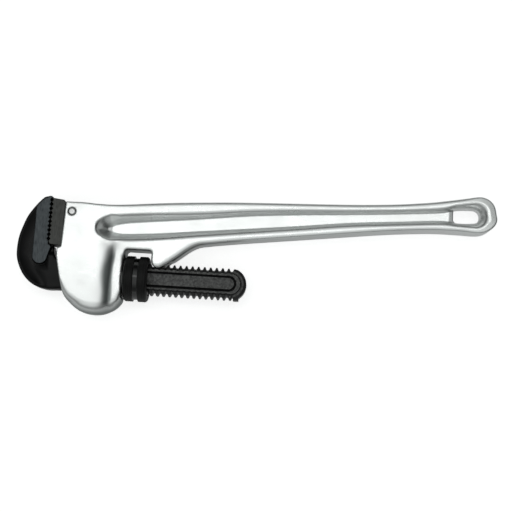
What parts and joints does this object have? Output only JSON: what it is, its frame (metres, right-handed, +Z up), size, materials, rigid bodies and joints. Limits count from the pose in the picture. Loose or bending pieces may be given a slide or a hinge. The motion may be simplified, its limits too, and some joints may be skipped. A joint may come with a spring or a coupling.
{
  "type": "pipe wrench",
  "caption": "Straight adjustable pipe wrench: hook jaw on a screw shank driven by a knurled nut, toothed heel jaw, aluminium I-beam handle with a hanging slot.",
  "frame": {"origin": "bottom centre of the whole tool's box, with the tool lying flat and closed; Z 0 is the lowest line of the nut's rim", "axes": "+X along the screw shank towards the free end of the handle, +Y from the shank towards the handle, +Z up through the flat side"},
  "size_m": [0.5155, 0.1522, 0.0492],
  "materials": {
    "cast_aluminium": "satin, polished flats with darker cast recess",
    "black_steel": "black coating, semi gloss",
    "jaw_steel": "dark heat treated steel, ground",
    "pin_steel": "bright ground steel",
    "spring_steel": "oiled spring steel"
  },
  "bodies": {
    "frame": {"handle": "cast_aluminium", "heel_jaw": "jaw_steel", "heel_jaw_pin": "pin_steel", "coil_spring": "spring_steel"},
    "spring_leaf": {"flat_spring": "spring_steel", "spring_rivet": "spring_steel"},
    "jaw": {"hook_jaw": "black_steel"},
    "nut": {"adjusting_nut": "black_steel"}
  },
  "joints": [
    {"name": "jaw_rock", "type": "hinge", "parent": "frame", "child": "spring_leaf", "pos_m": [-0.12765, -0.03485, 0.0246], "axis": [0, 0, 1], "range_deg": [0, 1.6], "stiffness_Nm_per_rad": 60, "springref_deg": -2.86, "deforming": ["coil_spring"]},
    {"name": "jaw_slide", "type": "slide", "parent": "spring_leaf", "child": "jaw", "axis": [-1, 0, 0], "range_m": [0, 0.091]},
    {"name": "nut_spin", "type": "hinge", "parent": "spring_leaf", "child": "nut", "pos_m": [-0.12765, -0.03485, 0.0246], "axis": [1, 0, 0], "range_deg": [0, 5041]}
  ],
  "couplings": [
    {"joint": "nut_spin", "follows": "jaw_slide", "rad_per_m": 966.64}
  ]
}
